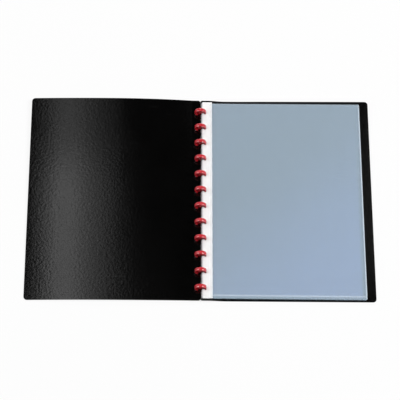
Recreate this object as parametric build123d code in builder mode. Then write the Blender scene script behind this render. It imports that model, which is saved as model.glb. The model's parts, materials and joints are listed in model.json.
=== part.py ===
from build123d import *

import os
from math import atan, atan2, cos, sin, sqrt

# Display book of clear pockets, bound by loose discs and lying open on a table.
# Millimetres. The spine runs along Y through the origin, X points from the front cover to the
# back cover, and Z points up from the table.

# Binding discs
DISC_COUNT = 12
DISC_PITCH = 25.0
DISC_ROW_OFFSET = -2.0
DISC_RADIUS = 8.5
RIM_WIDTH = 5.0
RIM_THICKNESS = 1.5
RIM_CROWN = 0.4
RIM_EDGE_ROUND = 0.35
WEB_WIDTH = 1.8
WEB_DEPTH = 5.0

# Notches that hook a sheet onto the discs
NOTCH_CLEARANCE = 0.35
NOTCH_ROUND = 0.6

# Covers
COVER_THICKNESS = 0.8
COVER_CORNER_RADIUS = 5.0
COVER_SPINE_CORNER_RADIUS = 3.0
COVER_LIP = 3.2
COVER_RISE_IN_RIM = 1.0
COVER_MARGIN_LAND = 3.0
COVER_BEND_RUN = 25.0
COVER_TOP_OVERHANG = 4.5
COVER_BOTTOM_OVERHANG = 2.5
COVER_SIDE_OVERHANG = 15.45

# Bow of the front cover, as it lies: the height of its crown and outer edge at its two ends
BOW_CROWN_FROM_SPINE = 120.0
BOW_TOP_CROWN = 8.6
BOW_TOP_EDGE = 5.6
BOW_BOTTOM_CROWN = 3.2
BOW_BOTTOM_EDGE = 0.0

# Pocket leaves
LEAF_COUNT = 10
LEAF_GAP = 0.06
LEAF_LIP = 3.5
LEAF_TOP_MARGIN = 17.0
LEAF_BOTTOM_MARGIN = 15.0
STRIP_WIDTH = 11.7
STRIP_CORNER_RADIUS = 2.0
TONGUE_WIDTH = 3.0
FILM_THICKNESS = 0.08
FILM_CORNER_RADIUS = 2.0
POCKET_WIDTH = 219.8
POCKET_SPACE = 0.14
POCKET_MOUTH_STEP = 2.0
WELD_WIDTH = 3.0

# Lengths along the spine
disc_places = [DISC_ROW_OFFSET + (i - (DISC_COUNT - 1) / 2) * DISC_PITCH for i in range(DISC_COUNT)]
leaf_bottom = disc_places[0] - LEAF_BOTTOM_MARGIN
leaf_top = disc_places[-1] + LEAF_TOP_MARGIN
cover_bottom = leaf_bottom - COVER_BOTTOM_OVERHANG
cover_top = leaf_top + COVER_TOP_OVERHANG

# Notch widths, from the rim and the web that pass through them
head_width = RIM_WIDTH + 2 * NOTCH_CLEARANCE
neck_width = WEB_WIDTH + 2 * NOTCH_CLEARANCE
rim_inner_radius = DISC_RADIUS - RIM_THICKNESS
web_inner_radius = rim_inner_radius - WEB_DEPTH


def half_chord(radius, offset):
    """Half the length of a circle's chord that lies offset from its centre."""
    return sqrt(radius**2 - offset**2)


def rim_catch(floor, thickness):
    """How far from the spine a sheet, with its floor counted from the disc axis, meets the rim's inside."""
    return half_chord(rim_inner_radius, max(abs(floor), abs(floor + thickness)))


def rim_seat(floor, thickness):
    """How far from the spine that sheet last meets the rim's outside."""
    crosses_axis = floor < 0 < floor + thickness
    nearest = 0 if crosses_axis else min(abs(floor), abs(floor + thickness))
    return half_chord(DISC_RADIUS, nearest)


# Covers: a level margin that passes inside the rims, then a panel that lies on the table
cover_lift = RIM_THICKNESS + COVER_RISE_IN_RIM
cover_floor = cover_lift - DISC_RADIUS
cover_lip_end = rim_catch(cover_floor, COVER_THICKNESS) - NOTCH_CLEARANCE
cover_head_end = rim_seat(cover_floor, COVER_THICKNESS) + NOTCH_CLEARANCE
cover_inner = cover_lip_end - COVER_LIP
cover_outer = cover_inner + STRIP_WIDTH + POCKET_WIDTH + COVER_SIDE_OVERHANG
margin_end = cover_head_end + COVER_MARGIN_LAND
panel_start = margin_end + COVER_BEND_RUN

# Leaves: flat, and sloping from the cover's raised margin down towards its outer edge
leaf_tilt = atan2(cover_lift, cover_outer - margin_end)
disc_axis = Vector(0, 0, DISC_RADIUS)
leaf_normal = Vector(sin(leaf_tilt), 0, cos(leaf_tilt))
leaf_plane = Plane(disc_axis, Vector(cos(leaf_tilt), 0, -sin(leaf_tilt)), leaf_normal)
strip_thickness = 2 * FILM_THICKNESS + POCKET_SPACE
stack_seat = Vector(margin_end, 0, cover_lift + COVER_THICKNESS + LEAF_GAP)
stack_floor = (stack_seat - disc_axis).dot(leaf_normal)
leaf_pitch = strip_thickness + LEAF_GAP
leaf_floors = [stack_floor + (LEAF_COUNT - 1 - i) * leaf_pitch for i in range(LEAF_COUNT)]
leaf_seats = [rim_seat(floor, strip_thickness) for floor in leaf_floors]

# One punch cuts every leaf, so its head is as long as the longest rim crossing needs
leaf_catches = [rim_catch(floor, strip_thickness) for floor in leaf_floors]
rim_crossing = max(seat - catch for seat, catch in zip(leaf_seats, leaf_catches))
leaf_head_length = rim_crossing + 2 * NOTCH_CLEARANCE


def write(piece, name):
    """Names a finished piece and writes its file."""
    piece.part.label = name
    export_step(piece.part, f"parts/{name}.step")


def draw_sheet(start, end, bottom, top, mode=Mode.ADD):
    """Draws a rectangle in the open sketch, between two places along X and two along Y."""
    with Locations(((start + end) / 2, (bottom + top) / 2)):
        Rectangle(end - start, top - bottom, mode=mode)


def draw_notches(inner, lip_end, head_end, mode=Mode.ADD):
    """Draws the row of notches in the open sketch: a neck round each web, a head round each rim."""
    neck_start = inner - NOTCH_ROUND
    neck_end = lip_end + NOTCH_ROUND
    with Locations(*[((neck_start + neck_end) / 2, place) for place in disc_places]):
        Rectangle(neck_end - neck_start, neck_width, mode=mode)
    with Locations(*[((lip_end + head_end) / 2, place) for place in disc_places]):
        RectangleRounded(head_end - lip_end, head_width, NOTCH_ROUND, mode=mode)


def finish_cover(cover):
    """Rounds the corners of the open cover and cuts its row of notches."""
    corners = cover.edges().filter_by(Axis.Z).group_by(Axis.X)
    fillet(corners[-1], COVER_CORNER_RADIUS)
    corners = cover.edges().filter_by(Axis.Z).group_by(Axis.X)
    fillet(corners[0], COVER_SPINE_CORNER_RADIUS)
    with BuildSketch(Plane.XY.offset(cover_lift + COVER_THICKNESS / 2)) as notches:
        draw_notches(cover_inner, cover_lip_end, cover_head_end)
    extrude(notches.sketch, amount=COVER_THICKNESS, both=True, mode=Mode.SUBTRACT)


def draw_film(start, end, top):
    """Draws a film in the open sketch, with its two outer corners rounded."""
    with BuildSketch(mode=Mode.PRIVATE) as film:
        draw_sheet(start, end, leaf_bottom, top)
        fillet(film.vertices().group_by(Axis.X)[-1], FILM_CORNER_RADIUS)
    add(film.sketch_local)


os.makedirs("parts", exist_ok=True)

# Back cover: one sheet, whose S bend is two tangent arcs
bend_turn = 2 * atan(cover_lift / COVER_BEND_RUN)
bend_middle = Vector((margin_end + panel_start) / 2, (cover_lift + COVER_THICKNESS) / 2)
bend_slope = Vector(cos(bend_turn), -sin(bend_turn))
half_wall = Vector(sin(bend_turn), cos(bend_turn)) * (COVER_THICKNESS / 2)

with BuildPart() as back_cover:
    with BuildSketch(Plane.XZ.offset(-cover_bottom)):
        with BuildLine():
            for level, middle in (
                (0, bend_middle - half_wall),
                (COVER_THICKNESS, bend_middle + half_wall),
            ):
                Line((cover_inner, cover_lift + level), (margin_end, cover_lift + level))
                TangentArc((margin_end, cover_lift + level), middle, tangent=(1, 0))
                TangentArc(middle, (panel_start, level), tangent=bend_slope)
                Line((panel_start, level), (cover_outer, level))
            Line((cover_inner, cover_lift), (cover_inner, cover_lift + COVER_THICKNESS))
            Line((cover_outer, 0), (cover_outer, COVER_THICKNESS))
        make_face()
    extrude(amount=cover_bottom - cover_top)
    finish_cover(back_cover)
write(back_cover, "back_cover")

# Front cover: a like sheet on the other side of the spine, bowed between two end profiles
crown = BOW_CROWN_FROM_SPINE
with BuildPart() as front_cover:
    for end, rise, edge in (
        (cover_bottom, BOW_BOTTOM_CROWN, BOW_BOTTOM_EDGE),
        (cover_top, BOW_TOP_CROWN, BOW_TOP_EDGE),
    ):
        with BuildSketch(Plane.XZ.offset(-end)):
            with BuildLine():
                for level in (0, COVER_THICKNESS):
                    margin = (margin_end, cover_lift + level)
                    top = (crown, rise + level)
                    rim = (cover_outer, edge + level)
                    Line((cover_inner, cover_lift + level), margin)
                    Bezier(margin, ((margin_end + crown) / 2, rise + level), top)
                    Bezier(top, ((crown + cover_outer) / 2, rise + level), rim)
                Line((cover_inner, cover_lift), (cover_inner, cover_lift + COVER_THICKNESS))
                Line((cover_outer, edge), (cover_outer, edge + COVER_THICKNESS))
            make_face()
    loft(ruled=True)
    finish_cover(front_cover)
    mirror(about=Plane.YZ, mode=Mode.REPLACE)
write(front_cover, "front_cover")

# Discs: a crowned rim on a thinner web, with an open middle
rim_edge_radius = DISC_RADIUS - RIM_CROWN
for number, place in enumerate(reversed(disc_places), start=1):
    with BuildPart() as disc:
        with BuildSketch(Plane((0, place, DISC_RADIUS), (0, 1, 0), (1, 0, 0))) as section:
            with BuildLine():
                for side in (-1, 1):
                    Polyline(
                        (0, web_inner_radius),
                        (side * WEB_WIDTH / 2, web_inner_radius),
                        (side * WEB_WIDTH / 2, rim_inner_radius),
                        (side * RIM_WIDTH / 2, rim_inner_radius),
                        (side * RIM_WIDTH / 2, rim_edge_radius),
                    )
                ThreePointArc(
                    (-RIM_WIDTH / 2, rim_edge_radius),
                    (0, DISC_RADIUS),
                    (RIM_WIDTH / 2, rim_edge_radius),
                )
            make_face()
            sides = section.vertices().group_by(Axis.X)
            fillet(sides[0] + sides[-1], RIM_EDGE_ROUND)
        revolve(axis=Axis((0, place, DISC_RADIUS), (0, 1, 0)))
    write(disc, f"disc_{number:02d}")

# Pocket leaves, from the top of the stack down
for number, (floor, seat) in enumerate(zip(leaf_floors, leaf_seats), start=1):
    head_end = seat + NOTCH_CLEARANCE
    lip_end = head_end - leaf_head_length
    inner = lip_end - LEAF_LIP
    film_start = inner + STRIP_WIDTH
    film_end = film_start + POCKET_WIDTH
    tongue_end = film_start + TONGUE_WIDTH
    front_top = leaf_top - POCKET_MOUTH_STEP

    # Binding strip: a notched sheet with a thin tongue that the films close over
    with BuildPart() as strip:
        with BuildSketch(leaf_plane.offset(floor)) as outline:
            draw_sheet(inner, film_start, leaf_bottom, leaf_top)
            fillet(outline.vertices().group_by(Axis.X)[0], STRIP_CORNER_RADIUS)
            draw_notches(inner, lip_end, head_end, Mode.SUBTRACT)
        extrude(amount=strip_thickness)
        with BuildSketch(leaf_plane.offset(floor + FILM_THICKNESS)):
            draw_sheet(film_start, tongue_end, leaf_bottom, leaf_top)
        extrude(amount=POCKET_SPACE)
    write(strip, f"binding_strip_{number:02d}")

    # Films: plain sheets under and over the tongue, the front one a little shorter at the mouth
    with BuildPart() as back_film:
        with BuildSketch(leaf_plane.offset(floor)):
            draw_film(film_start, film_end, leaf_top)
        extrude(amount=FILM_THICKNESS)
    write(back_film, f"pocket_back_{number:02d}")

    with BuildPart() as front_film:
        with BuildSketch(leaf_plane.offset(floor + FILM_THICKNESS + POCKET_SPACE)):
            draw_film(film_start, film_end, front_top)
        extrude(amount=FILM_THICKNESS)
    write(front_film, f"pocket_front_{number:02d}")

    # Weld seam: joins the films along the bottom and the outer side, and leaves the mouth open
    with BuildPart() as seam:
        with BuildSketch(leaf_plane.offset(floor + FILM_THICKNESS)):
            draw_film(tongue_end, film_end, front_top)
            draw_sheet(
                tongue_end, film_end - WELD_WIDTH, leaf_bottom + WELD_WIDTH, front_top, Mode.SUBTRACT
            )
        extrude(amount=POCKET_SPACE)
    write(seam, f"weld_seam_{number:02d}")
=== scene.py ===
import json
from math import cos, pi, radians, sin

import bmesh
import bpy
from mathutils import Matrix, Vector


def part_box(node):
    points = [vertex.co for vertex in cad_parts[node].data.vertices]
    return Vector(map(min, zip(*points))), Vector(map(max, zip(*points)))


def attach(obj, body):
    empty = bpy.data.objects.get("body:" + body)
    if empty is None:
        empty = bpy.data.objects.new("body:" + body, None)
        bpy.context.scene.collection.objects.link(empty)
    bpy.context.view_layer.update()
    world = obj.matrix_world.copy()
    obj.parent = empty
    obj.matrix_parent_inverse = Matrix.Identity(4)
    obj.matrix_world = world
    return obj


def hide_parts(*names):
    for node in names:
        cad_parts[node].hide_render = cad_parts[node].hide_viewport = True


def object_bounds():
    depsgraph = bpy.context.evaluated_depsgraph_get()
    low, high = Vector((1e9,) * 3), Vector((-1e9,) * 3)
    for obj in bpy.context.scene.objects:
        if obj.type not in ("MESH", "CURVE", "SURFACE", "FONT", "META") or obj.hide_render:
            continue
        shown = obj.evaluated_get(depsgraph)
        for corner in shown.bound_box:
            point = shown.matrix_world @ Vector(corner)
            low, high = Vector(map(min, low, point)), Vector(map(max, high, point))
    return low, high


# Display book of clear pockets, lying open. Metres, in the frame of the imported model: the spine
# runs along Y, X points from the front cover to the back cover, and Z points up from the table.

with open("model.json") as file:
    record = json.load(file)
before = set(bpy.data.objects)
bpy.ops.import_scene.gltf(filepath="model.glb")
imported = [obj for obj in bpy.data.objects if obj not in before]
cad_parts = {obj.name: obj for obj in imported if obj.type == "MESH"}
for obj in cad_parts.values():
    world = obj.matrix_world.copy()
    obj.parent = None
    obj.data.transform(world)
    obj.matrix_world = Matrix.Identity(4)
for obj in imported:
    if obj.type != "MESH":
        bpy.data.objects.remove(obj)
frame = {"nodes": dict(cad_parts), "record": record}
cad_low, cad_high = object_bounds()

MM = 0.001
CLOSE = 0.001 * MM

DISCS = sorted(name for name in frame["nodes"] if name.startswith("disc_"))
LEAVES = [name.removeprefix("binding_strip_") for name in sorted(frame["nodes"]) if "strip" in name]
FIRST_LEAF = LEAVES[0]
front_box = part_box("front_cover")
back_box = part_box("back_cover")
pocket_low, pocket_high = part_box(f"pocket_front_{FIRST_LEAF}")

# Sizes of the sheets
COVER_THICKNESS = 0.8 * MM
COVER_CORNER = 5 * MM
COVER_SPINE_CORNER = 3 * MM
COVER_EDGE_ROUND = 0.15 * MM
COVER_MARGIN_RISE = 2.5 * MM
COVER_MARGIN_END = 10.07 * MM
COVER_BEND_END = 35.07 * MM
NECK_END, NECK_WIDTH = 3.26 * MM, 2.5 * MM
HEAD_END, HEAD_WIDTH = 7.07 * MM, 5.7 * MM
FILM_THICKNESS = 0.08 * MM
FILM_CORNER = 2 * MM
SEAM_THICKNESS = 0.14 * MM
SEAM_WIDTH = 3 * MM
CORNER_SEGMENTS = 6
EDGE_SEGMENTS = 2
BEND_CELLS = 10
SHEET_CELLS = 24
RIM_ANGLE = radians(50)
SHEET_SHARP_ANGLE = radians(40)

# Sizes of the discs
RIM_WIDTH = 5 * MM
RIM_THICKNESS = 1.5 * MM
RIM_CROWN = 0.4 * MM
RIM_ROUND = 0.35 * MM
CROWN_CUTS = [RIM_WIDTH * share for share in (-0.4, -0.3, -0.1, 0, 0.1, 0.3, 0.4)]
WEB_WIDTH = 1.8 * MM
WEB_DEPTH = 5 * MM
WEB_ROUND = 0.2 * MM
DISC_STEPS = 96
DISC_SHARP_ANGLE = radians(30)

# How the sheets lie: the front cover bows up, most at its far end, and the back cover and the
# leaves on it lift towards the far outer corner
BOW_CROWN = 120 * MM
BOW_FAR_CROWN = 8.6 * MM
BOW_FAR_EDGE = 5.6 * MM
BOW_NEAR_CROWN = 3.2 * MM
BOW_NEAR_EDGE = 0
CURL_LIFT = 3.6 * MM

# Colours of the finishes
COVER_BLACK = (0.0006, 0.0006, 0.0006, 1)
COVER_WORN_BLACK = (0.0014, 0.00135, 0.0013, 1)
COVER_SCUFF = (0.02, 0.02, 0.0195, 1)
DISC_RED = (0.50, 0.014, 0.024, 1)
DISC_PALE_RED = (0.64, 0.032, 0.044, 1)
STRIP_WHITE = (0.90, 0.903, 0.905, 1)
STRIP_BRIGHT_WHITE = (0.94, 0.94, 0.94, 1)
# Grey of the painted shade along the strip's lip at the spine
STRIP_LIP_SHADE_GREY = (0.44, 0.44, 0.46, 1)
FILM_TEAL = (0.537, 0.66, 0.764, 1)
# Bluish tint of the painted sheen towards the lower right of the pockets
FILM_SHEEN_BLUE = (0.575, 0.71, 0.90, 1)
FILM_PALE = (0.80, 0.89, 0.97, 1)
TABLE_WHITE = (0.86, 0.86, 0.86, 1)
GLOW_WHITE = (1, 1, 1, 1)
SHEET_IOR = 1.49
DISC_IOR = 1.53

# Where the finishes change, as the start and end of a soft step
# Where the painted shade along the strip's lip fades out
STRIP_LIP_SHADE = (1.2 * MM, 4.6 * MM)
# Where the painted bluish sheen on the film begins and ends, and how it slants
FILM_SHEEN_STEP = (0.04, 0.38)
FILM_SHEEN_SLANT = 1.2
FILM_SIDE_HEM = (5.5 * MM, 6.5 * MM)
FILM_BOTTOM_HEM = (3.0 * MM, 3.8 * MM)
FILM_SIDE_EDGE = (1.0 * MM, 1.8 * MM)
FILM_MOUTH = (0.3 * MM, 0.9 * MM)
WELD_LINE_START = (3.2 * MM, 4.0 * MM)
WELD_LINE_END = (4.8 * MM, 5.6 * MM)
TABLE_GLOW_REACH = (0.30, 1.1)
TABLE_GLOW_SHARE = (0.88, 1)
TABLE_UNDER_BOOK = (-4 * MM, 0.5 * MM)
DISC_SHADE = 14 * MM

# Table, and the lamps that light the book: place, width and depth, and power in watts
TABLE_SIZE = 12
TABLE_DROP = 0.2 * MM
LAMPS = (
    ("left_fill", (-2.4, 0.1, 2.4), (1.2, 1.6), 50),
    ("right_key", (2.4, -0.3, 2.4), (1.2, 1.6), 92),
    ("back_fill", (0, 2.6, 1.6), (1.6, 1.0), 20),
)

# Lamps that the covers mirror towards the camera: place along X and Y, width, depth and radiance
REFLECTED_BOX_HEIGHT = 1.95
REFLECTED_BOXES = (
    ("left_box", -0.44, 0.40, 0.14, 0.90, 2.6),
    ("left_box_far", -0.44, 1.10, 0.14, 0.50, 1.3),
    ("left_edge", -0.29, 0.40, 0.16, 0.90, 0.8),
    ("left_edge_far", -0.29, 1.10, 0.16, 0.50, 0.3),
    ("right_edge", 0.58, 0.98, 0.20, 0.70, 0.36),
)

# Sky: bright near the horizon, almost black overhead, and dimmer as a light than as a reflection
SKY_STEP = (0.25, 0.55)
SKY_BRIGHTNESS = (1.0, 0.006)
SKY_DIFFUSE_LOSS = 0.7

# Camera, as fitted to the covers, the discs and the leaf
CAMERA_ELEVATION = radians(65.93)
CAMERA_AZIMUTH = radians(-2.95)
CAMERA_ROLL = radians(3.18)
CAMERA_DISTANCE = 2.315
CAMERA_AIM = Vector((-0.4 * MM, -1.95 * MM, 0))
CAMERA_LENS_IN_FRAMES = 1611.3 / 400
CAMERA_CLIP_END = 100
SENSOR_WIDTH = 36.0
FILM_LAYER_BOUNCES = 128


class Shade:
    """A socket in a node tree. Operators on it add Math nodes."""

    def __init__(self, nodes, socket):
        self.nodes = nodes
        self.socket = socket

    def math(self, operation, *values):
        return self.nodes.add("ShaderNodeMath", {"operation": operation}, dict(enumerate(values)))

    def __add__(self, other):
        return self.math("ADD", self, other)

    def __radd__(self, other):
        return self.math("ADD", other, self)

    def __sub__(self, other):
        return self.math("SUBTRACT", self, other)

    def __rsub__(self, other):
        return self.math("SUBTRACT", other, self)

    def __mul__(self, other):
        return self.math("MULTIPLY", self, other)

    def __rmul__(self, other):
        return self.math("MULTIPLY", other, self)

    def __abs__(self):
        return self.math("ABSOLUTE", self)

    def most(self, other):
        return self.math("MAXIMUM", self, other)


class Nodes:
    """The node tree of a material or a world, while its nodes are added and joined."""

    def __init__(self, owner):
        owner.use_nodes = True
        self.owner = owner
        self.tree = owner.node_tree
        self.tree.nodes.clear()

    def add(self, kind, settings=None, inputs=None, output=0):
        """Adds one node: its settings are set first, then its sockets get values or links."""
        node = self.tree.nodes.new(kind)
        for key, value in (settings or {}).items():
            setattr(node, key, value)
        for key, value in (inputs or {}).items():
            if isinstance(value, Shade):
                self.tree.links.new(value.socket, node.inputs[key])
            else:
                node.inputs[key].default_value = value
        return Shade(self, node.outputs[output] if node.outputs else None)

    def place(self):
        """Object coordinates, in metres."""
        return self.add("ShaderNodeTexCoord", output="Object")

    def along(self, axis):
        """The object coordinate along X, Y or Z."""
        return self.add("ShaderNodeSeparateXYZ", None, {0: self.place()}, axis)

    def mapped(self, stretch=(1, 1, 1), turn=(0, 0, 0)):
        """Object coordinates, stretched and turned."""
        return self.add("ShaderNodeMapping", None, {0: self.place(), "Scale": stretch, "Rotation": turn})

    def noise(self, scale, detail, stretch=(1, 1, 1), turn=(0, 0, 0)):
        sockets = {"Vector": self.mapped(stretch, turn), "Scale": scale, "Detail": detail}
        return self.add("ShaderNodeTexNoise", None, sockets)

    def cells(self, scale):
        return self.add("ShaderNodeTexVoronoi", None, {"Vector": self.mapped(), "Scale": scale})

    def spread(self, value, low, high, to_low=0.0, to_high=1.0):
        """A value taken smoothly from one range to another."""
        sockets = {"Value": value, 1: low, 2: high, 3: to_low, 4: to_high}
        return self.add("ShaderNodeMapRange", {"interpolation_type": "SMOOTHSTEP"}, sockets)

    def blend(self, amount, first, second):
        """A mix of two colours."""
        return self.add("ShaderNodeMix", {"data_type": "RGBA"}, {0: amount, 6: first, 7: second}, 2)

    def bump(self, height, distance, strength, below=None):
        """A relief, on top of another one where that is given."""
        sockets = {"Height": height, "Distance": distance, "Strength": strength}
        if below is not None:
            sockets["Normal"] = below
        return self.add("ShaderNodeBump", None, sockets)

    def ray(self, kind):
        """1 for rays of one kind, such as Is Camera Ray, and 0 for others."""
        return self.add("ShaderNodeLightPath", output=kind)

    def plastic(self, sockets):
        """Closes a material with a plastic of these sockets."""
        return self.close("ShaderNodeOutputMaterial", self.add("ShaderNodeBsdfPrincipled", None, sockets))

    def close(self, kind, surface):
        self.add(kind, None, {"Surface": surface})
        return self.owner


def new_finish(name):
    return Nodes(bpy.data.materials.new(name))


def cover_plastic():
    """Black sheet with an embossed grain, faint streaks and a few scuffs."""
    finish = new_finish("black_cover_sheet")
    pebble = finish.noise(scale=300, detail=2)
    grain = finish.cells(scale=900)
    sand = finish.noise(scale=1500, detail=2)
    drift = finish.noise(scale=22, detail=3)
    streaks = finish.noise(scale=60, detail=3, stretch=(1, 0.06, 1))
    scratch = finish.noise(scale=240, detail=2, stretch=(0.02, 1, 1), turn=(0, 0, 0.7))
    scuffs = finish.spread(scratch, 0.66, 0.74) * finish.spread(drift, 0.5, 0.62)
    colour = finish.blend(drift, COVER_BLACK, COVER_WORN_BLACK)
    colour = finish.blend(scuffs * 0.3, colour, COVER_SCUFF)
    rough = 0.105 + 0.03 * drift + 0.03 * streaks + 0.06 * scuffs
    fine_relief = finish.bump(grain + 0.6 * sand, distance=0.02 * MM, strength=0.35)
    relief = finish.bump(pebble, distance=0.18 * MM, strength=0.5, below=fine_relief)
    return finish.plastic({"Base Color": colour, "Roughness": rough, "Normal": relief, "IOR": SHEET_IOR})


def disc_plastic():
    """Glossy moulded red with faint flow marks."""
    finish = new_finish("red_disc")
    flow = finish.noise(scale=260, detail=3, stretch=(1, 0.25, 1))
    haze = finish.noise(scale=900, detail=2)
    return finish.plastic(
        {
            "Base Color": finish.blend(flow, DISC_RED, DISC_PALE_RED),
            "Roughness": 0.16 + 0.1 * haze,
            "Normal": finish.bump(flow + 0.3 * haze, distance=0.03 * MM, strength=0.2),
            "IOR": DISC_IOR,
            "Coat Weight": 0.35,
            "Coat Roughness": 0.08,
        }
    )


def strip_plastic():
    """White satin strip with a faint grain, and a painted grey shade along its lip at the spine."""
    finish = new_finish("white_binding_strip")
    grain = finish.noise(scale=1800, detail=3)
    drift = finish.noise(scale=35, detail=2)
    colour = finish.blend(drift, STRIP_WHITE, STRIP_BRIGHT_WHITE)
    # Painted shade: the strip's lip at the spine is greyed in its colour, where the bent lips would fall in
    # shade
    colour = finish.blend(finish.spread(finish.along("X"), *STRIP_LIP_SHADE), STRIP_LIP_SHADE_GREY, colour)
    relief = finish.bump(grain, distance=0.03 * MM, strength=0.3)
    rough = 0.34 + 0.1 * drift
    return finish.plastic({"Base Color": colour, "Roughness": rough, "Normal": relief, "IOR": SHEET_IOR})


def film_plastic(name, haze, sheen_tint, line_haze):
    """Clear film with a little haze on the side that faces the viewer, and more at a slant as a painted sheen.

    It is teal near the mouth and along the hems, with a painted bluish sheen towards the lower
    right, and pale along the mouth, the outer edge and the weld line.
    """
    finish = new_finish(name)
    drift = finish.noise(scale=9, detail=2)
    ripple = finish.noise(scale=28, detail=2, stretch=(1, 0.35, 1))
    x, y = finish.along("X"), finish.along("Y")
    from_side, from_bottom, from_mouth = pocket_high.x - x, y - pocket_low.y, pocket_high.y - y

    inside = finish.spread(from_side, *FILM_SIDE_HEM) * finish.spread(from_bottom, *FILM_BOTTOM_HEM)
    # Painted sheen: the film turns bluish towards the lower right, standing in for a reflection
    down = finish.spread(x - FILM_SHEEN_SLANT * y + 0.06 * drift, *FILM_SHEEN_STEP)
    mouth = 1 - finish.spread(from_mouth, *FILM_MOUTH)
    edge = 1 - finish.spread(from_side, *FILM_SIDE_EDGE)
    past_line = finish.spread(from_bottom, *WELD_LINE_END)
    weld_line = finish.spread(from_bottom, *WELD_LINE_START) * (1 - past_line)
    pale = (0.5 * mouth).most(0.9 * weld_line).most(edge)
    # Teal, blended towards the bluish tint of the painted sheen
    colour = finish.blend(down * inside, FILM_TEAL, sheen_tint)

    back_face = finish.add("ShaderNodeNewGeometry", output="Backfacing")
    # Painted sheen: the haze grows at a slant, standing in for the film's reflection at grazing views
    slant = finish.spread(finish.add("ShaderNodeFresnel", None, {"IOR": SHEET_IOR}), 0.06, 0.6)
    return finish.plastic(
        {
            "Base Color": finish.blend(pale, colour, FILM_PALE),
            "Roughness": 0.16 + 0.12 * drift,
            "Alpha": (haze + line_haze * pale + 0.35 * slant) * (1 - back_face),
            "Normal": finish.bump(ripple, distance=0.6 * MM, strength=0.5),
            "IOR": SHEET_IOR,
        }
    )


def table_paint():
    """White table that keeps the shadow near the book and is plain white further out.

    The white glow is left out under the back cover and the discs, where it would show through gaps.
    """
    finish = new_finish("white_table")
    paint = finish.add("ShaderNodeBsdfDiffuse", None, {"Color": TABLE_WHITE})
    glow = finish.add("ShaderNodeEmission", None, {"Color": GLOW_WHITE, "Strength": 1.0})
    mirrored = finish.ray("Is Glossy Ray").most(finish.ray("Is Transmission Ray"))
    seen = finish.ray("Is Camera Ray").most(mirrored)
    reach = finish.add("ShaderNodeVectorMath", {"operation": "LENGTH"}, {0: finish.place()}, "Value")
    middle = (cad_high.x - DISC_SHADE) / 2
    past_side = abs(finish.along("X") - middle) - (cad_high.x - middle)
    past_end = abs(finish.along("Y")) - cad_high.y
    uncovered = finish.spread(past_side.most(past_end), *TABLE_UNDER_BOOK)
    share = seen * finish.spread(reach, *TABLE_GLOW_REACH, *TABLE_GLOW_SHARE) * uncovered
    surface = finish.add("ShaderNodeMixShader", None, {0: share, 1: paint, 2: glow})
    return finish.close("ShaderNodeOutputMaterial", surface)


def studio_sky():
    sky = Nodes(bpy.data.worlds.new("studio"))
    direction = sky.add("ShaderNodeTexCoord", output="Generated")
    height = sky.add("ShaderNodeSeparateXYZ", None, {0: direction}, "Z")
    dimmed = 1 - SKY_DIFFUSE_LOSS * sky.ray("Is Diffuse Ray")
    strength = sky.spread(height, *SKY_STEP, *SKY_BRIGHTNESS) * dimmed
    surface = sky.add("ShaderNodeBackground", None, {"Color": GLOW_WHITE, "Strength": strength})
    return sky.close("ShaderNodeOutputWorld", surface)


def smooth(value):
    """A step from 0 to 1 with level ends."""
    value = min(max(value, 0), 1)
    return value * value * (3 - 2 * value)


def front_cover_height(x, y):
    """Underside of the bowed front cover: level in the discs, then crowned, its near corner on the table."""
    low, high = front_box
    far = (y - low.y) / (high.y - low.y)
    crown = BOW_NEAR_CROWN + (BOW_FAR_CROWN - BOW_NEAR_CROWN) * far
    edge = BOW_NEAR_EDGE + (BOW_FAR_EDGE - BOW_NEAR_EDGE) * far
    before = min(max((BOW_CROWN + x) / (BOW_CROWN - COVER_MARGIN_END), 0), 1)
    beyond = max((-x - BOW_CROWN) / (-low.x - BOW_CROWN), 0)
    return crown - (crown - COVER_MARGIN_RISE) * before**2 - (crown - edge) * beyond**2


def curl(x, y):
    """Lift of the back cover and its leaves towards the far outer corner."""
    low, high = back_box
    along = max((x - COVER_BEND_END) / (high.x - COVER_BEND_END), 0)
    far = (y - low.y) / (high.y - low.y)
    return CURL_LIFT * along * smooth(4 * along) * max(far, 0) ** 2


def back_cover_height(x, y):
    """Underside of the back cover: level in the discs, bent down to the table, curled at its corner."""
    bend = smooth((x - COVER_MARGIN_END) / (COVER_BEND_END - COVER_MARGIN_END))
    return COVER_MARGIN_RISE * (1 - bend) + curl(x, y)


def start_plane(name):
    """A square of one metre, left in edit mode."""
    bpy.ops.object.select_all(action="DESELECT")
    bpy.ops.mesh.primitive_plane_add(size=1)
    plane = bpy.context.object
    plane.name = plane.data.name = name
    bpy.ops.object.mode_set(mode="EDIT")
    return plane


def start_plate(name, low, high):
    """A flat rectangle between two corners, left in edit mode."""
    plate = start_plane(name)
    bpy.ops.transform.resize(value=(high.x - low.x, high.y - low.y, 1))
    bpy.ops.transform.translate(value=((low.x + high.x) / 2, (low.y + high.y) / 2, 0))
    return plate


def pick(piece, kind, wanted):
    """Selects, in edit mode, only the vertices, edges or faces whose middle is wanted."""
    bpy.ops.mesh.select_mode(type=kind)
    bpy.ops.mesh.select_all(action="DESELECT")
    mesh = bmesh.from_edit_mesh(piece.data)
    for item in {"VERT": mesh.verts, "EDGE": mesh.edges, "FACE": mesh.faces}[kind]:
        corners = [item] if kind == "VERT" else item.verts
        middle = sum((corner.co for corner in corners), Vector()) / len(corners)
        item.select_set(wanted(middle))
    bmesh.update_edit_mesh(piece.data)


def round_corners(piece, wanted, radius):
    pick(piece, "VERT", wanted)
    bpy.ops.mesh.bevel(offset=radius, segments=CORNER_SEGMENTS, affect="VERTICES")


def cut_lines(places, normal):
    """Cuts the whole mesh along planes square to an axis."""
    axis = Vector(normal)
    for place in places:
        bpy.ops.mesh.select_all(action="SELECT")
        bpy.ops.mesh.bisect(plane_co=axis * place, plane_no=axis)


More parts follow.
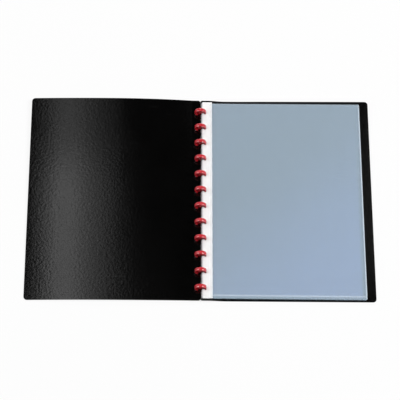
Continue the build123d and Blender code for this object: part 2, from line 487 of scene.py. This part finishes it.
def steps(start, end, count):
    """Places between two ends, without the ends."""
    return [start + (end - start) * i / count for i in range(1, count)]


def drop_faces(plate, wanted):
    pick(plate, "FACE", wanted)
    bpy.ops.mesh.delete(type="FACE")


def set_heights(plate, height):
    """Leaves edit mode and lifts every vertex to its height."""
    bpy.ops.object.mode_set(mode="OBJECT")
    for vertex in plate.data.vertices:
        vertex.co.z = height(vertex.co.x, vertex.co.y)


def thicken(plate, thickness, edge_round=0.0):
    """Gives a sheet its thickness, upwards, and rounds its rim where a radius is given."""
    wall = plate.modifiers.new("wall", "SOLIDIFY")
    wall.thickness = thickness
    wall.offset = 1
    if edge_round:
        rim = plate.modifiers.new("rim", "BEVEL")
        rim.width = edge_round
        rim.segments = EDGE_SEGMENTS
        rim.limit_method = "ANGLE"
        rim.angle_limit = RIM_ANGLE
    for modifier in [m.name for m in plate.modifiers]:
        bpy.ops.object.modifier_apply(modifier=modifier)
    bpy.ops.object.shade_smooth_by_angle(angle=SHEET_SHARP_ANGLE)
    if edge_round:
        flat = plate.modifiers.new("flat", "WEIGHTED_NORMAL")
        flat.keep_sharp = True
        bpy.ops.object.modifier_apply(modifier=flat.name)


def dress(piece, material, body, node):
    """Gives a finished piece its material and the body it rides on, and hides the node it stands for."""
    piece.data.materials.clear()
    piece.data.materials.append(material)
    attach(piece, body)
    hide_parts(node)


def copy_piece(piece, name, shift):
    """The same shape again, with a mesh of its own, moved."""
    copy = piece.copy()
    copy.data = piece.data.copy()
    copy.name = copy.data.name = name
    copy.data.transform(Matrix.Translation(shift))
    bpy.context.scene.collection.objects.link(copy)
    return copy


def node_body(node):
    return next(body for body, nodes in frame["record"]["behaviour"]["bodies"].items() if node in nodes)


def disc_places():
    """Places of the discs along the spine."""
    return [(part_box(name)[0].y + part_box(name)[1].y) / 2 for name in DISCS]


def cover_sheet(name, node, height):
    """A cover with a row of notches along its spine edge."""
    low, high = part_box(node)
    side = 1 if high.x > 0 else -1
    middle = (low.x + high.x) / 2
    spine = low.x if side > 0 else high.x
    outer = high.x if side > 0 else low.x
    plate = start_plate(name, low, high)
    round_corners(plate, lambda p: abs(p.x) > abs(middle), COVER_CORNER)
    round_corners(plate, lambda p: abs(p.x - spine) < CLOSE, COVER_SPINE_CORNER)
    margin = [NECK_END, (NECK_END + HEAD_END) / 2, HEAD_END, COVER_MARGIN_END]
    bend = steps(COVER_MARGIN_END, COVER_BEND_END, BEND_CELLS) + [COVER_BEND_END]
    panel = steps(COVER_BEND_END, abs(outer), SHEET_CELLS)
    cut_lines([side * place for place in margin + bend + panel], (1, 0, 0))
    places = disc_places()
    sides = [y + edge / 2 for y in places for edge in (-HEAD_WIDTH, -NECK_WIDTH, NECK_WIDTH, HEAD_WIDTH)]
    between = [(a + b) / 2 for a, b in zip(places, places[1:])]
    cut_lines(sides + between, (0, 1, 0))

    def in_notch(p):
        across = min(abs(p.y - y) for y in places)
        out = abs(p.x)
        in_neck = out < NECK_END and across < NECK_WIDTH / 2
        in_head = NECK_END < out < HEAD_END and across < HEAD_WIDTH / 2
        return in_neck or in_head

    drop_faces(plate, in_notch)
    set_heights(plate, height)
    thicken(plate, COVER_THICKNESS, COVER_EDGE_ROUND)
    return plate


def disc_ring(name, node):
    """A disc: its section, a crowned rim on a thinner web, is drawn above the axis and spun round it."""
    low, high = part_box(node)
    centre = (low + high) / 2
    radius = (high.z - low.z) / 2
    rim_inside = radius - RIM_THICKNESS
    web_foot = rim_inside - WEB_DEPTH
    ring = start_plane(name)
    bpy.ops.transform.rotate(value=pi / 2, orient_axis="Y", center_override=(0, 0, 0))
    bpy.ops.transform.resize(value=(1, RIM_WIDTH, RIM_THICKNESS))
    bpy.ops.transform.translate(value=(0, 0, rim_inside + RIM_THICKNESS / 2))
    cut_lines(CROWN_CUTS + [-WEB_WIDTH / 2, WEB_WIDTH / 2], (0, 1, 0))

    # The web grows from the middle of the rim's inner side, and the rim's outer side is crowned
    pick(ring, "EDGE", lambda p: abs(p.y) < WEB_WIDTH / 2 and abs(p.z - rim_inside) < CLOSE)
    bpy.ops.mesh.extrude_region_move(TRANSFORM_OT_translate={"value": (0, 0, -WEB_DEPTH)})
    mesh = bmesh.from_edit_mesh(ring.data)
    for vertex in mesh.verts:
        if vertex.co.z > rim_inside + CLOSE:
            vertex.co.z = radius - RIM_CROWN * (2 * vertex.co.y / RIM_WIDTH) ** 2
    bmesh.update_edit_mesh(ring.data)

    def at_web_foot(p):
        return abs(p.z - web_foot) < CLOSE and abs(abs(p.y) - WEB_WIDTH / 2) < CLOSE

    round_corners(ring, lambda p: abs(abs(p.y) - RIM_WIDTH / 2) < CLOSE, RIM_ROUND)
    round_corners(ring, at_web_foot, WEB_ROUND)

    # Only the outline is kept, and it is spun into a closed ring
    bpy.ops.mesh.select_mode(type="EDGE")
    bpy.ops.mesh.select_all(action="SELECT")
    bpy.ops.mesh.region_to_loop()
    bpy.ops.mesh.select_all(action="INVERT")
    bpy.ops.mesh.delete(type="EDGE")
    bpy.ops.mesh.select_all(action="SELECT")
    bpy.ops.mesh.spin(steps=DISC_STEPS, angle=2 * pi, center=(0, 0, 0), axis=(0, 1, 0))
    bpy.ops.mesh.select_all(action="SELECT")
    bpy.ops.mesh.remove_doubles(threshold=CLOSE)
    bpy.ops.mesh.normals_make_consistent(inside=False)
    bpy.ops.transform.translate(value=centre)
    bpy.ops.object.mode_set(mode="OBJECT")
    bpy.ops.object.shade_smooth_by_angle(angle=DISC_SHARP_ANGLE)
    return ring


def leaf_sheet(name, node, thickness, is_seam):
    """A film, or the L-shaped seam between two films, in the leaf's sloping plane."""
    low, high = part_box(node)
    plate = start_plate(name, low, high)
    round_corners(plate, lambda p: p.x > (low.x + high.x) / 2, FILM_CORNER)
    cut_lines(steps(low.x, high.x, SHEET_CELLS), (1, 0, 0))
    cut_lines(steps(low.y, high.y, SHEET_CELLS), (0, 1, 0))
    if is_seam:
        side, bottom = high.x - SEAM_WIDTH, low.y + SEAM_WIDTH
        cut_lines([side], (1, 0, 0))
        cut_lines([bottom], (0, 1, 0))
        drop_faces(plate, lambda p: p.x < side and p.y > bottom)
    slope = (high.z - low.z - thickness) / (high.x - low.x)
    set_heights(plate, lambda x, y: high.z - thickness - slope * (x - low.x) + curl(x, y))
    thicken(plate, thickness)
    return plate


def add_covers():
    black = cover_plastic()
    for cover, height in (("front_cover", front_cover_height), ("back_cover", back_cover_height)):
        dress(cover_sheet(f"{cover}_sheet", cover, height), black, cover, cover)


def add_discs():
    """Models the first disc and copies it along the spine."""
    red = disc_plastic()
    first_ring = None
    for disc in DISCS:
        name = f"disc_ring_{disc.removeprefix('disc_')}"
        if first_ring is None:
            ring = first_ring = disc_ring(name, disc)
        else:
            ring = copy_piece(first_ring, name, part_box(disc)[0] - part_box(DISCS[0])[0])
        dress(ring, red, node_body(disc), disc)


def add_leaf_sheets(node_name, piece_name, thickness, is_seam, material):
    """Models one kind of sheet for the first leaf and copies it to the other leaves."""
    first_node = f"{node_name}_{FIRST_LEAF}"
    first_sheet = leaf_sheet(f"{piece_name}_{FIRST_LEAF}", first_node, thickness, is_seam)
    for leaf in LEAVES:
        node = f"{node_name}_{leaf}"
        sheet = first_sheet
        if leaf != FIRST_LEAF:
            sheet = copy_piece(first_sheet, f"{piece_name}_{leaf}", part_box(node)[0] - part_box(first_node)[0])
        dress(sheet, material, f"leaf_{leaf}", node)


def add_leaves():
    """Films and weld seams of the pockets, and the finish of the binding strips."""
    # The pocket films carry the painted bluish sheen; the weld keeps plain teal
    film = film_plastic("clear_pocket_film", haze=0.14, sheen_tint=FILM_SHEEN_BLUE, line_haze=0.15)
    clear = film_plastic("clear_pocket_back", haze=0.004, sheen_tint=FILM_SHEEN_BLUE, line_haze=0)
    weld = film_plastic("pocket_weld", haze=0.03, sheen_tint=FILM_TEAL, line_haze=0.10)
    add_leaf_sheets("pocket_front", "pocket_front_film", FILM_THICKNESS, False, film)
    add_leaf_sheets("pocket_back", "pocket_back_film", FILM_THICKNESS, False, clear)
    add_leaf_sheets("weld_seam", "pocket_weld_seam", SEAM_THICKNESS, True, weld)
    white = strip_plastic()
    for leaf in LEAVES:
        strip = frame["nodes"][f"binding_strip_{leaf}"]
        strip.data.materials.clear()
        strip.data.materials.append(white)


def area_lamp(name, place, aim, size, power):
    lamp = bpy.data.lights.new(name, "AREA")
    lamp.shape = "RECTANGLE"
    lamp.size, lamp.size_y = size
    lamp.energy = power
    holder = bpy.data.objects.new(name, lamp)
    holder.location = place
    holder.rotation_euler = (Vector(aim) - Vector(place)).to_track_quat("-Z", "Y").to_euler()
    bpy.context.scene.collection.objects.link(holder)


def set_stage():
    """Table, lamps and sky."""
    bpy.ops.object.select_all(action="DESELECT")
    bpy.ops.mesh.primitive_grid_add(
        x_subdivisions=2, y_subdivisions=2, size=TABLE_SIZE, location=(0, 0, -TABLE_DROP)
    )
    table = bpy.context.object
    table.name = "table"
    table.data.materials.append(table_paint())
    for name, place, size, power in LAMPS:
        area_lamp(name, place, (0, 0, 0), size, power)
    for name, x, y, width, depth, radiance in REFLECTED_BOXES:
        power = radiance * pi * width * depth
        area_lamp(name, (x, y, REFLECTED_BOX_HEIGHT), (x, 0, 0), (width, depth), power)
    bpy.context.scene.world = studio_sky()


def set_camera():
    back = Vector(
        (
            sin(CAMERA_AZIMUTH) * cos(CAMERA_ELEVATION),
            -cos(CAMERA_AZIMUTH) * cos(CAMERA_ELEVATION),
            sin(CAMERA_ELEVATION),
        )
    )
    level = Vector((cos(CAMERA_AZIMUTH), sin(CAMERA_AZIMUTH), 0))
    upright = back.cross(level)
    right = level * cos(CAMERA_ROLL) + upright * sin(CAMERA_ROLL)
    up = back.cross(right)
    data = bpy.data.cameras.new("camera")
    data.sensor_width = SENSOR_WIDTH
    data.lens = CAMERA_LENS_IN_FRAMES * SENSOR_WIDTH
    data.clip_end = CAMERA_CLIP_END
    camera = bpy.data.objects.new("camera", data)
    turn = Matrix((right, up, back)).transposed().to_4x4()
    camera.matrix_world = Matrix.Translation(CAMERA_AIM + back * CAMERA_DISTANCE) @ turn
    bpy.context.scene.collection.objects.link(camera)
    bpy.context.scene.camera = camera


add_covers()
add_discs()
add_leaves()
set_stage()
set_camera()
bpy.context.scene.view_settings.view_transform = "Standard"
bpy.context.scene.cycles.transparent_max_bounces = FILM_LAYER_BOUNCES
